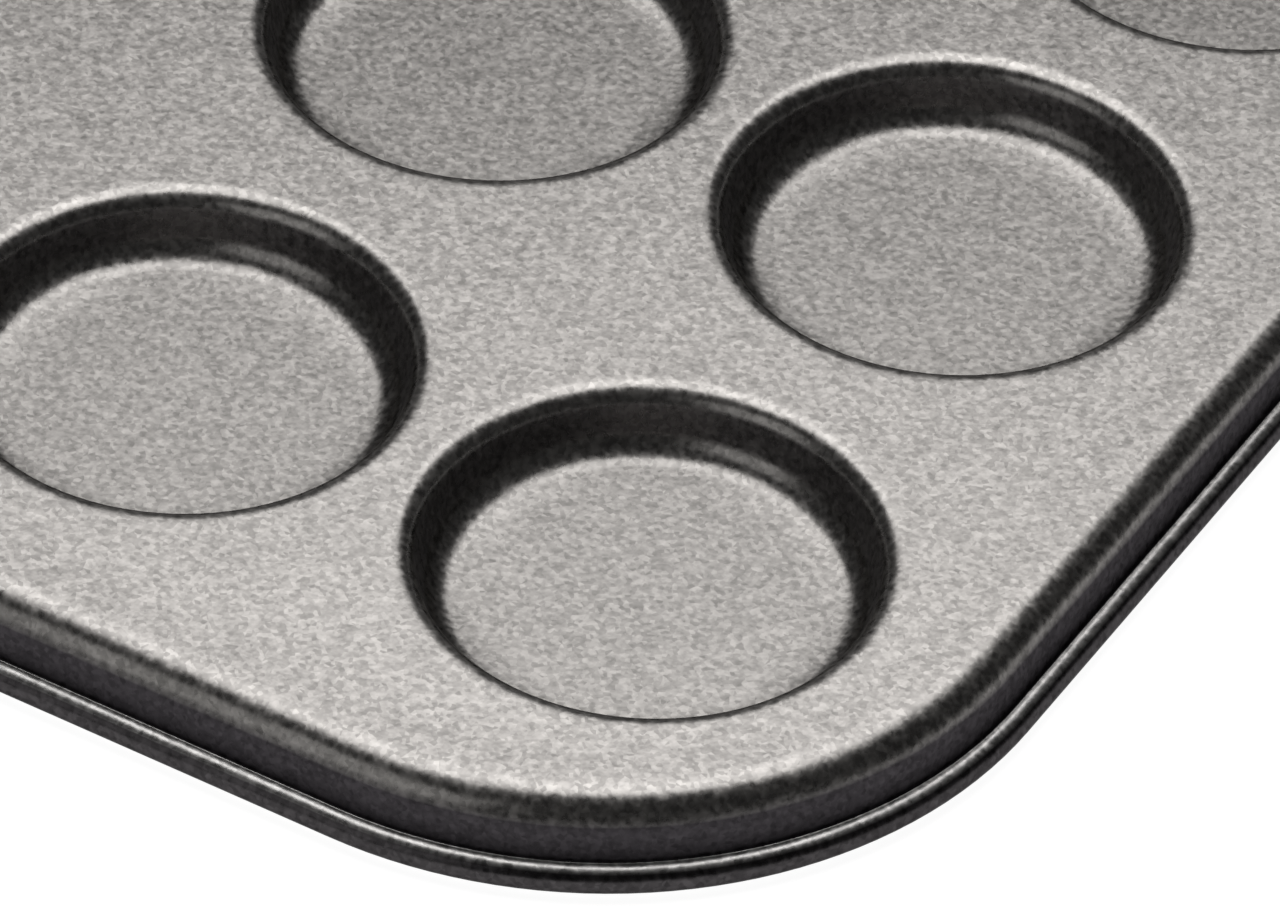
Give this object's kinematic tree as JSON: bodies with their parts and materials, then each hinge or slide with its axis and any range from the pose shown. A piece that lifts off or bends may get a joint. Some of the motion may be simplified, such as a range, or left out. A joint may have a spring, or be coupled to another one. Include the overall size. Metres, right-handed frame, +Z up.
{
  "type": "whoopie pie pan",
  "caption": "Shallow rectangular baking tin with round flat-bottomed wells, rounded corners, a steep skirt and a rolled, wired edge.",
  "frame": {"origin": "middle of the footprint, on the plane that the rolled edge stands on", "axes": "+Y along the long side, +X along the short side, +Z up out of the wells"},
  "size_m": [0.283, 0.3998, 0.0151],
  "materials": {
    "nonstick_coat": "satin grey non-stick coat with a fine metallic grain",
    "wire": "drawn steel wire"
  },
  "bodies": {
    "root": {"pan_sheet": "nonstick_coat", "rim_wire": "wire"}
  },
  "joints": []
}
